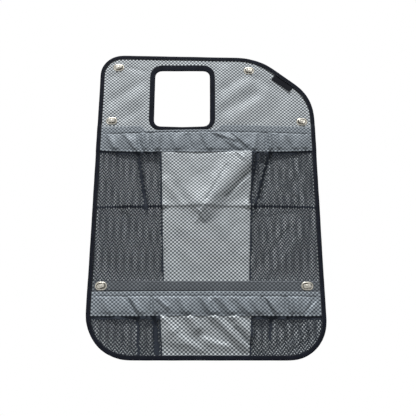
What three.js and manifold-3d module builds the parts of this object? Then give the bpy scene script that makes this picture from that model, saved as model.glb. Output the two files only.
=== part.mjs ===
// Van door storage pouch: a quilted silver back panel with a bound window,
// two elasticated pockets of mesh and silver cloth, and six oval turn buttons.
// Millimetres. The pouch is drawn flat as seen from the front, x to the right,
// y up and z out of the door, and the finished group is stood upright (+Z up).
import * as THREE from 'three';
import { mergeVertices } from 'three/addons/utils/BufferGeometryUtils.js';
import Module from 'manifold-3d';

const wasm = await Module();
wasm.setup();

// Back panel and its outline
const PANEL_WIDTH = 520;
const PANEL_HEIGHT = 728;
const PANEL_THICKNESS = 1.2;
const TOP_FALL = 8; // the top edge drops this much from left to right
const CHAMFER_RUN = 134; // cut-off top right corner, along the top
const CHAMFER_DROP = 107; // and down the side
const RADIUS_TOP_LEFT = 52;
const RADIUS_CHAMFER_TOP = 144;
const RADIUS_CHAMFER_SIDE = 111;
const RADIUS_BOTTOM_LEFT = 98;
const RADIUS_BOTTOM_RIGHT = 82;

// Window for the door handle
const WINDOW_WIDTH = 134;
const WINDOW_HEIGHT = 147;
const WINDOW_RADIUS = 15;
const WINDOW_FROM_LEFT = 135;
const WINDOW_FROM_TOP = 44.5;
const WINDOW_BOW = 2; // its lower edge sags this much

// Cloth, tape and the play between layers
const GAP = 0.3;
const SEAM_GAP = 0.4;
const CLOTH = 0.6;
const TAPE = 0.8;
const BINDING_WIDTH = 11;
const WINDOW_BINDING_SIDE = 13;
const WINDOW_BINDING_TOP = 16;
const WINDOW_BINDING_BOTTOM = 10;

// Pockets
const UPPER_MOUTH_FROM_TOP = 195;
const UPPER_CHANNEL = 18;
const UPPER_BAND = 39;
const STRIP_TOP_FROM_BOTTOM = 168;
const STRIP_HEIGHT = 23;
const LOWER_CHANNEL = 10;
const LOWER_BAND = 42;
const UPPER_STAND_OFF = 14;
const LOWER_STAND_OFF = 12;
const ELASTIC_WIDTH = 5;
const ELASTIC_THICKNESS = 0.8;
const PLEATS = 22;
const PLEAT_HEIGHT = 2.2;
const TUCK = 4; // how far the pocket sheets reach into the band
const STRIP_OVERLAP = 5;
const STRIP_HEM = 4;
const UPPER_PANEL_WIDTH_TOP = 213;
const UPPER_PANEL_WIDTH_BOTTOM = 187;
const LOWER_PANEL_WIDTH_TOP = 199;
const LOWER_PANEL_WIDTH_BOTTOM = 183;
const NET_PITCH_X = 40;
const NET_PITCH_Y = 62;
const NET_HOLE_WIDTH = 19;
const NET_HOLE_HEIGHT = 30;
const NET_MARGIN = 9;

// Blank label in the chamfer's binding
const LABEL_LENGTH = 54;
const LABEL_SHOWING = 14;
const LABEL_TUCKED = 5;
const LABEL_SHIFT = 5; // along the chamfer, towards the side
const LABEL_CLOTH = 0.3;

// Turn-button fasteners
const OVAL_CORE = 4.05; // half distance between the end centres of every oval
const EYELET_OUTER = 9.5;
const EYELET_HOLE = 5.4;
const EYELET_BARREL = 6.2;
const EYELET_CROWN = 1.4;
const CLINCH_OUTER = 9.2;
const BASE_CORE = 7;
const BASE_RADIUS = 8;
const BASE_THICKNESS = 1.2;
const SCREW_SPACING = 20;
const SCREW_HOLE = 1.8;
const PIN_RADIUS = 1.5;
const PIN_CLEARANCE = 0.2;
const RIVET_RADIUS = 2.5;
const WING_LENGTH = 17.6;
const WING_WIDTH = 8.4;
const WING_SADDLE = 1.9;
const WING_LOBE = 3.1;

// Levels and heights that follow from the sizes above
const left = -PANEL_WIDTH / 2;
const right = PANEL_WIDTH / 2;
const top = PANEL_HEIGHT / 2;
const bottom = -PANEL_HEIGHT / 2;
const topRight = top - TOP_FALL;
const flat = PANEL_THICKNESS + GAP; // first layer on the panel's front
const edgeInset = TAPE + GAP; // the panel's cut edge inside the binding
const sheetInset = edgeInset + GAP;
const bindingClear = BINDING_WIDTH + 2; // sheets stay flat this far in
const stripTop = bottom + STRIP_TOP_FROM_BOTTOM;
const stripBottom = stripTop - STRIP_HEIGHT;
const stripLift = CLOTH + GAP; // the strip's upper edge lies on the sheets
const stripFront = flat + stripLift + CLOTH;
const casingGap = ELASTIC_THICKNESS + 2 * SEAM_GAP;
const bandStack = 2 * CLOTH + casingGap;
const clinchTop = -GAP;
const clinchBottom = clinchTop - TAPE;
const lipTop = clinchBottom - GAP;
const lipBottom = lipTop - CLOTH;
const baseTop = lipBottom - GAP;
const baseBottom = baseTop - BASE_THICKNESS;

const windowBox = {
  left: left + WINDOW_FROM_LEFT,
  right: left + WINDOW_FROM_LEFT + WINDOW_WIDTH,
  top: top - WINDOW_FROM_TOP,
  bottom: top - WINDOW_FROM_TOP - WINDOW_HEIGHT,
};

// Colours of the real materials
const silver = { color: 0x8f949b, roughness: 0.55, metalness: 0.25 };
const bandSilver = { color: 0x71767f, roughness: 0.6, metalness: 0.15 };
const stripSilver = { color: 0x55595f, roughness: 0.6, metalness: 0.15 };
const blackTape = { color: 0x191b23, roughness: 0.85, metalness: 0 };
const netBlack = { color: 0x3c4048, roughness: 0.8, metalness: 0 };
const rubberWhite = { color: 0xc9c8c2, roughness: 0.8, metalness: 0 };
const nickel = { color: 0xc8c3b8, roughness: 0.25, metalness: 1 };

const pouch = new THREE.Group();

function addPiece(name, geometry, finish) {
  const mesh = new THREE.Mesh(geometry, new THREE.MeshStandardMaterial(finish));
  mesh.name = name;
  pouch.add(mesh);
  return mesh;
}

function skin(points, triangles) {
  const geometry = new THREE.BufferGeometry();
  geometry.setAttribute('position', new THREE.Float32BufferAttribute(points.flat(), 3));
  geometry.setIndex(triangles.flat());
  geometry.computeVertexNormals();
  return geometry;
}

// Joins a row of equal rings, each a list of [x, y, z] points. A closed row
// goes back to its first ring, and an open one is capped at both ends.
function loft(rings, closed, cap = []) {
  const count = rings[0].length;
  const triangles = [];
  const spans = closed ? rings.length : rings.length - 1;
  for (let i = 0; i < spans; i += 1) {
    const near = i * count;
    const far = ((i + 1) % rings.length) * count;
    for (let j = 0; j < count; j += 1) {
      const next = (j + 1) % count;
      triangles.push([near + j, near + next, far + next]);
      triangles.push([near + j, far + next, far + j]);
    }
  }
  const last = (rings.length - 1) * count;
  for (const [a, b, c] of cap) {
    triangles.push([a, c, b]);
    triangles.push([last + a, last + b, last + c]);
  }
  return skin(rings.flat(), triangles);
}

// A sheet of even thickness over a grid of rows of [x, y, z] back points
function sheet(rows, thickness) {
  const across = rows[0].length;
  const back = rows.flat();
  const front = back.map(([x, y, z]) => [x, y, z + thickness]);
  const lift = back.length;
  const triangles = [];
  for (let r = 0; r < rows.length - 1; r += 1) {
    for (let c = 0; c < across - 1; c += 1) {
      const a = r * across + c;
      const b = a + 1;
      const d = a + across;
      const e = d + 1;
      triangles.push([a + lift, b + lift, e + lift], [a + lift, e + lift, d + lift]);
      triangles.push([a, e, b], [a, d, e]);
    }
  }
  const rim = [];
  for (let c = 0; c < across; c += 1) rim.push(c);
  for (let r = 1; r < rows.length; r += 1) rim.push(r * across + across - 1);
  for (let c = across - 2; c >= 0; c -= 1) rim.push((rows.length - 1) * across + c);
  for (let r = rows.length - 2; r > 0; r -= 1) rim.push(r * across);
  rim.forEach((a, i) => {
    const b = rim[(i + 1) % rim.length];
    triangles.push([a, b, b + lift], [a, b + lift, a + lift]);
  });
  return skin([...back, ...front], triangles);
}

function solidOf(geometry) {
  const bare = geometry.clone();
  bare.deleteAttribute('normal');
  bare.deleteAttribute('uv');
  const merged = mergeVertices(bare, 1e-4);
  return new wasm.Manifold(new wasm.Mesh({
    numProp: 3,
    vertProperties: new Float32Array(merged.attributes.position.array),
    triVerts: new Uint32Array(merged.index.array),
  }));
}

function geometryOf(solid) {
  const mesh = solid.getMesh();
  const geometry = new THREE.BufferGeometry();
  geometry.setAttribute('position', new THREE.BufferAttribute(new Float32Array(mesh.vertProperties), 3));
  geometry.setIndex(new THREE.BufferAttribute(new Uint32Array(mesh.triVerts), 1));
  geometry.computeVertexNormals();
  return geometry;
}

// Outline of straight edges and round corners, counter-clockwise, as stations
// with their outward normals. Upright edges get a station at each level too.
function outline(corners, segments, levels) {
  const stations = [];
  const arcs = corners.map((corner, i) => {
    const before = corners[(i + corners.length - 1) % corners.length];
    const after = corners[(i + 1) % corners.length];
    const into = new THREE.Vector2(corner.x - before.x, corner.y - before.y).normalize();
    const away = new THREE.Vector2(after.x - corner.x, after.y - corner.y).normalize();
    const turn = into.angleTo(away);
    const setback = corner.r * Math.tan(turn / 2);
    const start = new THREE.Vector2(corner.x, corner.y).addScaledVector(into, -setback);
    const normal = new THREE.Vector2(into.y, -into.x);
    const centre = start.clone().addScaledVector(normal, -corner.r);
    return { centre, turn, r: corner.r, from: Math.atan2(normal.y, normal.x) };
  });
  arcs.forEach((arc, i) => {
    const steps = Math.max(3, Math.round((segments * arc.turn) / (Math.PI / 2)));
    for (let k = 0; k <= steps; k += 1) {
      const angle = arc.from + (arc.turn * k) / steps;
      const nx = Math.cos(angle);
      const ny = Math.sin(angle);
      stations.push({ x: arc.centre.x + arc.r * nx, y: arc.centre.y + arc.r * ny, nx, ny });
    }
    const end = stations[stations.length - 1];
    const next = arcs[(i + 1) % arcs.length];
    const nextY = next.centre.y + next.r * Math.sin(next.from);
    if (Math.abs(end.nx) > 0.999) {
      const low = Math.min(end.y, nextY) + 1;
      const high = Math.max(end.y, nextY) - 1;
      const stops = levels.filter((y) => y > low && y < high);
      stops.sort((a, b) => (nextY > end.y ? a - b : b - a));
      stops.forEach((y) => stations.push({ x: end.x, y, nx: end.nx, ny: end.ny }));
    }
  });
  return stations;
}

function pathAt(stations, inset) {
  return stations.map((s) => new THREE.Vector2(s.x - s.nx * inset, s.y - s.ny * inset));
}

const panelCorners = [
  { x: left, y: bottom, r: RADIUS_BOTTOM_LEFT },
  { x: right, y: bottom, r: RADIUS_BOTTOM_RIGHT },
  { x: right, y: topRight - CHAMFER_DROP, r: RADIUS_CHAMFER_SIDE },
  { x: right - CHAMFER_RUN, y: topRight, r: RADIUS_CHAMFER_TOP },
  { x: left, y: top, r: RADIUS_TOP_LEFT },
];

// Upper pocket's mouth dips below the window's binding
const windowCentre = (windowBox.left + windowBox.right) / 2;
const mouthDipHalf = WINDOW_WIDTH / 2 + WINDOW_BINDING_SIDE + 16;
const mouthDipLevel = windowBox.bottom - WINDOW_BOW - WINDOW_BINDING_BOTTOM - SEAM_GAP;

const upper = {
  name: 'upper',
  mouth: top - UPPER_MOUTH_FROM_TOP,
  channel: UPPER_CHANNEL,
  band: UPPER_BAND,
  bandSag: 9,
  bottom: stripTop - STRIP_OVERLAP,
  flatTo: stripTop + 2,
  standOff: UPPER_STAND_OFF,
  panelTop: UPPER_PANEL_WIDTH_TOP,
  panelBottom: UPPER_PANEL_WIDTH_BOTTOM,
  panelShift: 1.2,
  rows: [0.1, 0.23, 0.36, 0.48, 0.54, 0.6, 0.72, 0.86],
};
const lower = {
  name: 'lower',
  mouth: stripBottom - 1,
  channel: LOWER_CHANNEL,
  band: LOWER_BAND,
  bandSag: 0,
  bottom: bottom + sheetInset,
  flatTo: bottom + bindingClear,
  standOff: LOWER_STAND_OFF,
  panelTop: LOWER_PANEL_WIDTH_TOP,
  panelBottom: LOWER_PANEL_WIDTH_BOTTOM,
  panelShift: 0,
  rows: [0.14, 0.32, 0.55],
};

// Creases pressed into the pocket sheets: from, to, height and half width
const creases = [
  [-258, -30, 258, -30, -1.6, 7],
  [94, 68, -2, -28, 2.4, 11],
  [112, 52, 20, -34, -2.2, 14],
  [-158, 100, -132, -12, 2, 8],
  [130, 98, 98, 18, 1.8, 8],
  [194, -78, 112, -188, 2.2, 11],
  [-2, -250, 66, -344, -2.6, 11],
  [-36, -246, 36, -346, 2.4, 10],
  [58, -262, 92, -330, 2, 9],
  [-128, -262, -140, -340, 1.8, 8],
];

function smooth(from, to, value) {
  return THREE.MathUtils.smoothstep(value, from, to);
}

// Side of the outline at a level, moved inwards by an inset
function edgeX(side, y, inset) {
  const radius = side < 0 ? RADIUS_BOTTOM_LEFT : RADIUS_BOTTOM_RIGHT;
  const below = bottom + radius - Math.max(y, bottom + inset);
  const reach = radius - inset;
  const drawn = below > 0 ? radius - Math.sqrt(Math.max(0, reach * reach - below * below)) : inset;
  return side * (PANEL_WIDTH / 2 - drawn);
}

function mouthLevel(pocket, x) {
  if (pocket !== upper) return pocket.mouth;
  const reach = Math.abs(x - windowCentre);
  const dip = 1 - smooth(mouthDipHalf - 14, mouthDipHalf, reach);
  return pocket.mouth + (mouthDipLevel - pocket.mouth) * dip;
}

function gatherLevel(pocket) {
  return pocket.mouth - pocket.channel;
}

function bandBottom(pocket, x) {
  const across = Math.cos((Math.PI * x) / PANEL_WIDTH);
  return gatherLevel(pocket) - pocket.band - pocket.bandSag * across;
}

// How far the pocket's front hangs out from the panel
function standOff(pocket, x, y) {
  const from = edgeX(-1, y, bindingClear);
  const to = edgeX(1, y, bindingClear);
  const share = THREE.MathUtils.clamp((x - from) / (to - from), 0, 1);
  const height = gatherLevel(pocket) - pocket.flatTo;
  const rise = THREE.MathUtils.clamp((y - pocket.flatTo) / height, 0, 1);
  const hang = Math.sin(Math.PI * share) * Math.sin((Math.PI / 2) * rise);
  const loose = Math.min(1, hang * 4) * (1 - smooth(0, 18, y - bandBottom(pocket, x) + 22));
  let crease = 0;
  for (const [x1, y1, x2, y2, h, w] of creases) {
    const along = new THREE.Vector2(x2 - x1, y2 - y1);
    const length = along.length();
    const to0 = new THREE.Vector2(x - x1, y - y1);
    const t = THREE.MathUtils.clamp(to0.dot(along) / (length * length), 0, 1);
    const away = to0.addScaledVector(along, -t).length() / w;
    crease += h * Math.exp(-away * away);
  }
  return pocket.standOff * hang + crease * loose;
}

// Seam between a mesh and the centre panel
function seamX(pocket, side, y) {
  const height = gatherLevel(pocket) - pocket.bottom;
  const share = (y - pocket.bottom) / height;
  const width = THREE.MathUtils.lerp(pocket.panelBottom, pocket.panelTop, share);
  return pocket.panelShift + (side * width) / 2;
}

// One bay of a pocket's front, between two upright lines, as a grid of back
// points: flat under the binding and the strip, and tucked into the band above
function bayRows(pocket, fromX, toX, stops) {
  const levelOf = (share) => (x) => {
    const mouth = bandBottom(pocket, x) - 10;
    return THREE.MathUtils.lerp(pocket.flatTo, mouth, share);
  };
  const levels = [() => pocket.bottom, () => pocket.flatTo];
  pocket.rows.forEach((share) => levels.push(levelOf(share)));
  levels.push((x) => bandBottom(pocket, x) - 10);
  levels.push((x) => bandBottom(pocket, x) - 2);
  levels.push((x) => bandBottom(pocket, x) + TUCK);
  const step = CLOTH + SEAM_GAP;
  return levels.map((level, r) => stops.map((share, c) => {
    const guess = level(THREE.MathUtils.lerp(fromX(0, c), toX(0, c), share));
    const x = THREE.MathUtils.lerp(fromX(guess, c), toX(guess, c), share);
    const y = level(x);
    const tuck = r >= levels.length - 2 ? step : 0;
    return [x, y, flat + standOff(pocket, x, y) + tuck];
  }));
}

function evenStops(count) {
  return Array.from({ length: count + 1 }, (_, i) => i / count);
}

// Diamond openings of the net, staggered row by row, clear of its edges
function netHoles(pocket, side) {
  const low = pocket.flatTo + NET_MARGIN + NET_HOLE_HEIGHT / 2;
  const high = bandBottom(pocket, 0) - NET_MARGIN - NET_HOLE_HEIGHT / 2;
  const rows = Math.floor((high - low) / (NET_PITCH_Y / 2)) + 1;
  const rowPitch = rows > 1 ? (high - low) / (rows - 1) : 0;
  const holes = [];
  for (let r = 0; r < rows; r += 1) {
    const y = low + r * rowPitch;
    const reach = NET_MARGIN + NET_HOLE_WIDTH / 2;
    const seam = seamX(pocket, side, y) + side * reach;
    const edge = edgeX(side, y - NET_HOLE_HEIGHT / 2, bindingClear) - side * reach;
    const room = Math.abs(edge - seam);
    const count = Math.floor(room / NET_PITCH_X);
    const shift = (r % 2) * (NET_PITCH_X / 2);
    for (let c = 0; c <= count; c += 1) {
      const away = c * NET_PITCH_X + shift;
      if (away > room) continue;
      holes.push([seam + side * away, y]);
    }
  }
  return holes;
}

const netTool = new THREE.ExtrudeGeometry(new THREE.Shape([
  new THREE.Vector2(-NET_HOLE_WIDTH / 2, 0),
  new THREE.Vector2(0, -NET_HOLE_HEIGHT / 2),
  new THREE.Vector2(NET_HOLE_WIDTH / 2, 0),
  new THREE.Vector2(0, NET_HOLE_HEIGHT / 2),
]), { depth: 60, bevelEnabled: false });

function cutNet(geometry, pocket, side) {
  let solid = solidOf(geometry);
  const tool = solidOf(netTool);
  for (const [x, y] of netHoles(pocket, side)) {
    solid = solid.subtract(tool.translate([x, y, -20]));
  }
  return geometryOf(solid);
}

function addPocketFront(pocket) {
  const columns = 6;
  for (const side of [-1, 1]) {
    // the outermost two columns lie flat under the binding
    const outer = (y, c) => {
      if (c === 0) return edgeX(side, y, sheetInset);
      return edgeX(side, y, bindingClear) - (y < pocket.flatTo ? side * BINDING_WIDTH : 0);
    };
    const seam = (y) => seamX(pocket, side, y) + (side * GAP) / 2;
    const stops = [0, ...evenStops(columns)];
    const rows = bayRows(pocket, outer, seam, stops);
    const ordered = side < 0 ? rows : rows.map((row) => [...row].reverse());
    const net = cutNet(sheet(ordered, CLOTH), pocket, side);
    addPiece(`${pocket.name}_mesh_${side < 0 ? 'left' : 'right'}`, net, netBlack);
  }
  const from = (y) => seamX(pocket, -1, y) + GAP / 2;
  const to = (y) => seamX(pocket, 1, y) - GAP / 2;
  const centre = sheet(bayRows(pocket, from, to, evenStops(14)), CLOTH);
  addPiece(`${pocket.name}_centre_panel`, centre, silver);
}

// Gathered casing folded over the pocket's mouth, with the elastic in its
// channel. Every second station is the top of a pleat.
function bandStations(pocket) {
  const from = edgeX(-1, pocket.mouth, sheetInset);
  const to = edgeX(1, pocket.mouth, sheetInset);
  const inner = edgeX(1, pocket.mouth, bindingClear);
  const stations = [from];
  const count = 2 * PLEATS;
  for (let i = 0; i <= count; i += 1) stations.push(THREE.MathUtils.lerp(-inner, inner, i / count));
  stations.push(to);
  return stations;
}

function pleat(i, x) {
  if (i % 2 === 1) return 0;
  const fade = 1 - smooth(0.8, 1, Math.abs(x) / (PANEL_WIDTH / 2 - bindingClear));
  return PLEAT_HEIGHT * fade * (0.55 + 0.45 * Math.sin(i * 1.7) * Math.cos(i * 0.6));
}

function addBand(pocket) {
  const gather = gatherLevel(pocket);
  const sections = bandStations(pocket).map((x, i) => {
    const rise = pleat(i, x);
    const scallop = 0.35 * (PLEAT_HEIGHT - rise);
    const crest = mouthLevel(pocket, x) - scallop;
    const low = bandBottom(pocket, x);
    const channelMid = (gather + crest) / 2;
    const back = (y) => flat + standOff(pocket, x, y);
    const front = (y, extra) => back(y) + CLOTH + casingGap + extra;
    return [
      [x, low, front(low, 0.1 * rise)],
      [x, gather, front(gather, 0.5 * rise)],
      [x, channelMid, front(channelMid, rise)],
      [x, crest - CLOTH - 0.2, front(crest, 0)],
      [x, crest - CLOTH - 0.2, back(crest) + CLOTH],
      [x, low, back(low) + CLOTH],
      [x, low, back(low)],
      [x, crest - 0.5, back(crest) + CLOTH / 2],
      [x, crest, back(crest) + bandStack / 2 + 0.5 * rise],
      [x, crest - 0.5, front(crest, 0.6 * rise) + CLOTH / 2],
      [x, channelMid, front(channelMid, rise) + CLOTH],
      [x, gather, front(gather, 0.5 * rise) + CLOTH],
      [x, low, front(low, 0.1 * rise) + CLOTH],
    ];
  });
  const face = sections[0].map(([, y, z]) => new THREE.Vector2(y, z));
  const cap = THREE.ShapeUtils.triangulateShape(face, []);
  addPiece(`${pocket.name}_band`, loft(sections, false, cap), bandSilver);

  const elasticBottom = gather + 1;
  const elasticTop = elasticBottom + ELASTIC_WIDTH;
  const strip = bandStations(pocket).map((x) => {
    const low = flat + standOff(pocket, x, elasticBottom) + CLOTH + SEAM_GAP;
    const high = flat + standOff(pocket, x, elasticTop) + CLOTH + SEAM_GAP;
    return [
      [x, elasticBottom, low],
      [x, elasticTop, high],
      [x, elasticTop, high + ELASTIC_THICKNESS],
      [x, elasticBottom, low + ELASTIC_THICKNESS],
    ];
  });
  const thinned = strip.filter((_, i) => i < 2 || i > strip.length - 3 || i % 2 === 1);
  const ends = [[0, 1, 2], [0, 2, 3]];
  addPiece(`${pocket.name}_elastic`, loft(thinned, false, ends), rubberWhite);
}

// The edge tape goes round in two lengths, which meet above the upper pocket
const joinLevel = upper.mouth + 8;

// Room under the binding's front leg, by what it covers at each level
const upperBandLow = gatherLevel(upper) - UPPER_BAND;
const lowerBandLow = gatherLevel(lower) - LOWER_BAND;
const coverLevels = [
  [joinLevel, flat],
  [upper.mouth + 2, flat + bandStack + GAP],
  [upperBandLow - 2, flat + bandStack + GAP],
  [upperBandLow - 9, flat + CLOTH + GAP],
  [stripTop + 7, flat + CLOTH + GAP],
  [stripTop + 1.5, stripFront + GAP],
  [stripBottom + 7, stripFront + GAP],
  [stripBottom + 0.5, flat + bandStack + GAP],
  [lowerBandLow - 14, flat + bandStack + GAP],
  [lowerBandLow - 30, flat + CLOTH + GAP],
];

function coverAt(y) {
  if (y >= coverLevels[0][0]) return coverLevels[0][1];
  for (let i = 1; i < coverLevels.length; i += 1) {
    const [high, highRoom] = coverLevels[i - 1];
    const [low, lowRoom] = coverLevels[i];
    if (y >= low) return THREE.MathUtils.mapLinear(y, low, high, lowRoom, highRoom);
  }
  return coverLevels[coverLevels.length - 1][1];
}

// Folded tape round an edge: from its front leg's free edge round the turn to
// the back leg. reach counts from the outside of the turn over the cloth.
function tapeSection(width, room) {
  const under = -GAP;
  return [
    [width, room + TAPE],
    [1.5, room + TAPE],
    [0, room + TAPE - 1],
    [0, under - TAPE + 1],
    [1.5, under - TAPE],
    [width, under - TAPE],
    [width, under],
    [TAPE + 0.2, under],
    [TAPE, under + 0.3],
    [TAPE, room - 0.3],
    [TAPE + 0.2, room],
    [width, room],
  ];
}

// Blank label's place on the chamfer
const chamferStart = new THREE.Vector2(right, topRight - CHAMFER_DROP);
const chamferEnd = new THREE.Vector2(right - CHAMFER_RUN, topRight);
const chamferAlong = chamferEnd.clone().sub(chamferStart).normalize();
const chamferOut = new THREE.Vector2(chamferAlong.y, -chamferAlong.x);
const labelStack = 2 * LABEL_CLOTH + GAP;

function addBindings() {
  const levels = [...coverLevels.map(([y]) => y), joinLevel - GAP];
  const stations = outline(panelCorners, 9, levels);
  const first = stations.findIndex((s) => s.nx > 0.999 && s.y === joinLevel);
  const round = [...stations.slice(first), ...stations.slice(0, first)];
  const second = round.findIndex((s) => s.nx < -0.999 && s.y < joinLevel);
  const ringAt = (s) => {
    const onChamfer = s.nx > 0.35 && s.ny > 0.35;
    const room = onChamfer ? flat + labelStack + GAP : coverAt(s.y);
    return tapeSection(BINDING_WIDTH, room).map(([reach, z]) => [s.x - s.nx * reach, s.y - s.ny * reach, z]);
  };
  const end = tapeSection(BINDING_WIDTH, flat).map(([reach, z]) => new THREE.Vector2(reach, z));
  const cap = THREE.ShapeUtils.triangulateShape(end, []);
  addPiece('edge_binding_upper', loft(round.slice(0, second).map(ringAt), false, cap), blackTape);
  addPiece('edge_binding_lower', loft(round.slice(second).map(ringAt), false, cap), blackTape);

  const windowRings = windowStations().map((s) => {
    const far = s.ny > 0 ? WINDOW_BINDING_TOP : WINDOW_BINDING_BOTTOM;
    const width = THREE.MathUtils.lerp(WINDOW_BINDING_SIDE, far, Math.abs(s.ny));
    return tapeSection(width, flat).map(([reach, z]) => [s.x + s.nx * reach, s.y + s.ny * reach, z]).reverse();
  });
  addPiece('window_binding', loft(windowRings, true), blackTape);
}

function windowStations() {
  const corners = [
    { x: windowBox.left, y: windowBox.bottom, r: WINDOW_RADIUS },
    { x: windowCentre, y: windowBox.bottom - WINDOW_BOW, r: WINDOW_WIDTH },
    { x: windowBox.right, y: windowBox.bottom, r: WINDOW_RADIUS },
    { x: windowBox.right, y: windowBox.top, r: WINDOW_RADIUS },
    { x: windowBox.left, y: windowBox.top, r: WINDOW_RADIUS },
  ];
  return outline(corners, 4, []);
}

// Oval ring: a section of [radius, z] carried round two half circles
const ovalStops = [];
for (const side of [1, -1]) {
  for (let k = 0; k <= 6; k += 1) {
    const angle = (side > 0 ? -Math.PI / 2 : Math.PI / 2) + (Math.PI * k) / 6;
    ovalStops.push({ x: side * OVAL_CORE, nx: Math.cos(angle), ny: Math.sin(angle) });
  }
}

function ovalPath(core, radius) {
  return ovalStops.map((s) => new THREE.Vector2(Math.sign(s.x) * core + s.nx * radius, s.ny * radius));
}

function ovalRing(section) {
  return loft(ovalStops.map((s) => section
    .map(([radius, z]) => [s.x + s.nx * radius, s.ny * radius, z])), true);
}

function circlePath(x, radius, count) {
  return Array.from({ length: count }, (_, i) => {
    const angle = (2 * Math.PI * i) / count;
    return new THREE.Vector2(x + radius * Math.cos(angle), radius * Math.sin(angle));
  });
}

function plate(path, holes, from, to) {
  const shape = new THREE.Shape(path);
  holes.forEach((hole) => shape.holes.push(new THREE.Path(hole)));
  const geometry = new THREE.ExtrudeGeometry(shape, { depth: to - from, bevelEnabled: false });
  return geometry.translate(0, 0, from);
}

function eyelet(seat) {
  return ovalRing([
    [(EYELET_OUTER + EYELET_HOLE) / 2, seat + EYELET_CROWN],
    [EYELET_OUTER - 0.5, seat + 0.6 * EYELET_CROWN],
    [EYELET_OUTER, seat],
    [EYELET_BARREL, seat],
    [EYELET_BARREL, lipTop],
    [EYELET_BARREL + 1.2, lipTop],
    [EYELET_BARREL + 1, lipBottom],
    [EYELET_HOLE, lipBottom],
    [EYELET_HOLE, seat + 0.5 * EYELET_CROWN],
  ]);
}

function clinchRing() {
  return ovalRing([
    [EYELET_BARREL + GAP, clinchTop],
    [CLINCH_OUTER, clinchTop],
    [CLINCH_OUTER, clinchBottom],
    [EYELET_BARREL + GAP, clinchBottom],
  ]);
}

// Base plate with two screw holes, and the post that carries the wing
function buttonBase(wingSeat) {
  const screwHoles = [-1, 1].map((side) => circlePath((side * SCREW_SPACING) / 2, SCREW_HOLE, 6));
  const foot = plate(ovalPath(BASE_CORE, BASE_RADIUS), screwHoles, baseBottom, baseTop);
  const post = new THREE.LatheGeometry([
    new THREE.Vector2(0, baseBottom + BASE_THICKNESS / 2),
    new THREE.Vector2(EYELET_HOLE - 0.7, baseBottom + BASE_THICKNESS / 2),
    new THREE.Vector2(EYELET_HOLE - 0.9, PANEL_THICKNESS),
    new THREE.Vector2(PIN_RADIUS + 1, wingSeat - GAP),
    new THREE.Vector2(PIN_RADIUS, wingSeat - GAP),
    new THREE.Vector2(PIN_RADIUS, wingSeat + WING_SADDLE + GAP),
    new THREE.Vector2(RIVET_RADIUS, wingSeat + WING_SADDLE + GAP),
    new THREE.Vector2(RIVET_RADIUS - 0.7, wingSeat + WING_SADDLE + GAP + 0.7),
    new THREE.Vector2(0, wingSeat + WING_SADDLE + GAP + 0.9),
  ], 8).rotateX(Math.PI / 2);
  return geometryOf(solidOf(foot).add(solidOf(post)));
}

// Bow-tie wing: its side profile cut to an oval plan, with the pin's hole
function buttonWing(wingSeat) {
  const half = WING_LENGTH / 2;
  const profile = [
    [-half, 0], [half, 0], [half, 0.4 * WING_LOBE], [half - 1.2, 0.85 * WING_LOBE],
    [half - 3, WING_LOBE], [half - 4.8, 0.9 * WING_LOBE], [RIVET_RADIUS + 0.4, WING_SADDLE],
    [-RIVET_RADIUS - 0.4, WING_SADDLE], [4.8 - half, 0.9 * WING_LOBE], [3 - half, WING_LOBE],
    [1.2 - half, 0.85 * WING_LOBE], [-half, 0.4 * WING_LOBE],
  ].map(([x, y]) => new THREE.Vector2(x, y));
  const bar = plate(profile, [], -WING_WIDTH, WING_WIDTH).rotateX(Math.PI / 2);
  const plan = plate(ovalPath(half - WING_WIDTH / 2, WING_WIDTH / 2), [], -1, WING_LOBE + 1);
  const bore = plate(circlePath(0, PIN_RADIUS + PIN_CLEARANCE, 8), [], -1, WING_LOBE + 1);
  const wing = solidOf(bar).intersect(solidOf(plan)).subtract(solidOf(bore));
  return geometryOf(wing).translate(0, 0, wingSeat);
}

// Places of the six fasteners, whether the seam strip lies under each, and how
// its wing was left turned
const fasteners = [
  { name: 'top_left', x: left + 44, y: top - 35, onStrip: false, turn: 14 },
  { name: 'mid_left', x: left + 33.5, y: upper.mouth + 17, onStrip: false, turn: 0 },
  { name: 'top_right', x: right - CHAMFER_RUN - 20.5, y: topRight - 35.5, onStrip: false, turn: -8 },
  { name: 'mid_right', x: right - 30.5, y: upper.mouth + 14.5, onStrip: false, turn: -22 },
  { name: 'low_left', x: left + 30, y: stripBottom + STRIP_HEIGHT / 2, onStrip: true, turn: 16 },
  { name: 'low_right', x: right - 38, y: stripBottom + STRIP_HEIGHT / 2, onStrip: true, turn: 20 },
];

function holeFor(fastener) {
  return ovalPath(OVAL_CORE, EYELET_BARREL + GAP)
    .map((p) => new THREE.Vector2(p.x + fastener.x, p.y + fastener.y));
}

// Back panel
const panelStations = outline(panelCorners, 9, []);
const windowHole = windowStations().map((s) => new THREE.Vector2(s.x + s.nx * edgeInset, s.y + s.ny * edgeInset));
const panelHoles = [windowHole, ...fasteners.map(holeFor)];
addPiece('back_panel', plate(pathAt(panelStations, edgeInset), panelHoles, 0, PANEL_THICKNESS), silver);

addBindings();

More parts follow.
